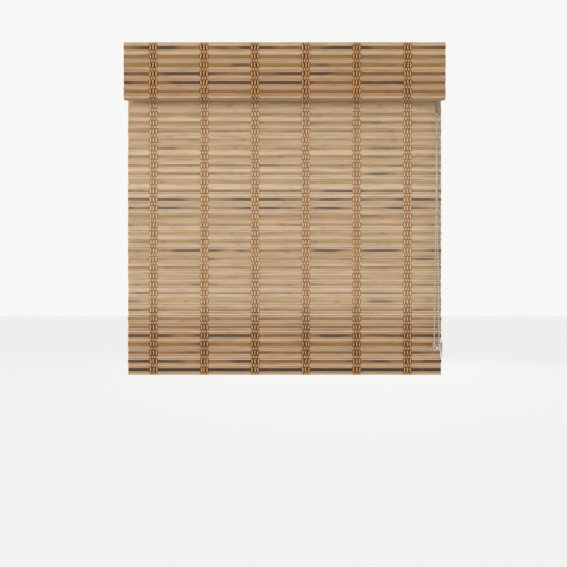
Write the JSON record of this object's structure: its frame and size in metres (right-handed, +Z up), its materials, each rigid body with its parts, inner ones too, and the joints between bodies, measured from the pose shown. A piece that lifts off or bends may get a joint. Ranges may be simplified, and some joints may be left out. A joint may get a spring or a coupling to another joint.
{
  "type": "woven wood shade",
  "caption": "Flat woven wood shade with a wrapped valance, a headrail, lift cords with guide rings, a bottom bar in the hem, and a bead chain drive with clutch and tensioner.",
  "frame": {"origin": "middle of the four bracket screw holes, on the mounting plane at the brackets' top faces", "axes": "+X along the shade to the right as seen from the room, -Y to the room, +Z up"},
  "size_m": [0.9, 0.0723, 0.939],
  "materials": {
    "headrail_paint": "satin",
    "bracket_steel": "zinc plated",
    "fascia_aluminium": "mill",
    "shaft_aluminium": "drawn",
    "woven_wood": "natural bamboo and reed",
    "lift_cord": "braided",
    "ring_plastic": "gloss",
    "white_plastic": "matte",
    "ivory_plastic": "matte",
    "clear_plastic": "clear",
    "connector_plastic": "smoke grey",
    "chain_metal": "nickel plated",
    "screw_steel": "zinc plated"
  },
  "bodies": {
    "frame": {"headrail": "headrail_paint", "end_cap": "white_plastic", "bracket_left": "bracket_steel", "bracket_right": "bracket_steel", "valance_fascia": "fascia_aluminium", "valance_mat": "woven_wood", "valance_clips": "ivory_plastic", "shade_panel": "woven_wood", "clamp_strip": "fascia_aluminium", "clamp_screws": "screw_steel", "lift_cord_left": "lift_cord", "lift_cord_centre": "lift_cord", "lift_cord_right": "lift_cord", "cord_bushings": "white_plastic", "cradle_left": "ivory_plastic", "cradle_centre": "ivory_plastic", "cradle_right": "ivory_plastic", "clutch_body": "white_plastic", "clutch_cover": "white_plastic", "clutch_spring": "screw_steel", "clutch_screws": "screw_steel", "bead_chain": "chain_metal", "chain_connector": "connector_plastic", "tensioner_body": "clear_plastic", "tensioner_axle": "screw_steel"},
    "bottom_bar": {"bottom_bar": "fascia_aluminium", "bar_cap_left": "white_plastic", "bar_cap_right": "white_plastic", "bar_eyelets": "screw_steel"},
    "ring_row_upper": {"ring_row_upper": "ring_plastic"},
    "ring_row_middle": {"ring_row_middle": "ring_plastic"},
    "ring_row_lower": {"ring_row_lower": "ring_plastic"},
    "drive": {"drive_shaft": "shaft_aluminium", "spool_left": "white_plastic", "spool_centre": "white_plastic", "spool_right": "white_plastic", "drive_sprocket": "ivory_plastic"},
    "tension_pulley": {"tensioner_pulley": "clear_plastic"}
  },
  "joints": [
    {"name": "shade_lift", "type": "slide", "parent": "frame", "child": "bottom_bar", "axis": [0, 0, 1], "range_m": [0, 0.62], "deforming": ["shade_panel", "lift_cord_left", "lift_cord_centre", "lift_cord_right", "bead_chain"]},
    {"name": "ring_row_lower_lift", "type": "slide", "parent": "frame", "child": "ring_row_lower", "axis": [0, 0, 1], "range_m": [0, 0.506]},
    {"name": "ring_row_middle_lift", "type": "slide", "parent": "frame", "child": "ring_row_middle", "axis": [0, 0, 1], "range_m": [0, 0.365]},
    {"name": "ring_row_upper_lift", "type": "slide", "parent": "frame", "child": "ring_row_upper", "axis": [0, 0, 1], "range_m": [0, 0.2235]},
    {"name": "drive_turn", "type": "hinge", "parent": "frame", "child": "drive", "pos_m": [0, 0, -0.023], "axis": [1, 0, 0], "range_deg": [0, 3230]},
    {"name": "tension_pulley_turn", "type": "hinge", "parent": "frame", "child": "tension_pulley", "pos_m": [0.4325, 0, -0.859], "axis": [0, 1, 0], "range_deg": [-7050, 0]}
  ],
  "couplings": [
    {"joint": "ring_row_lower_lift", "follows": "shade_lift", "ratio": 0.81488},
    {"joint": "ring_row_middle_lift", "follows": "shade_lift", "ratio": 0.58704},
    {"joint": "ring_row_upper_lift", "follows": "shade_lift", "ratio": 0.3592},
    {"joint": "drive_turn", "follows": "shade_lift", "rad_per_m": 90.909},
    {"joint": "tension_pulley_turn", "follows": "shade_lift", "rad_per_m": -198.43}
  ]
}
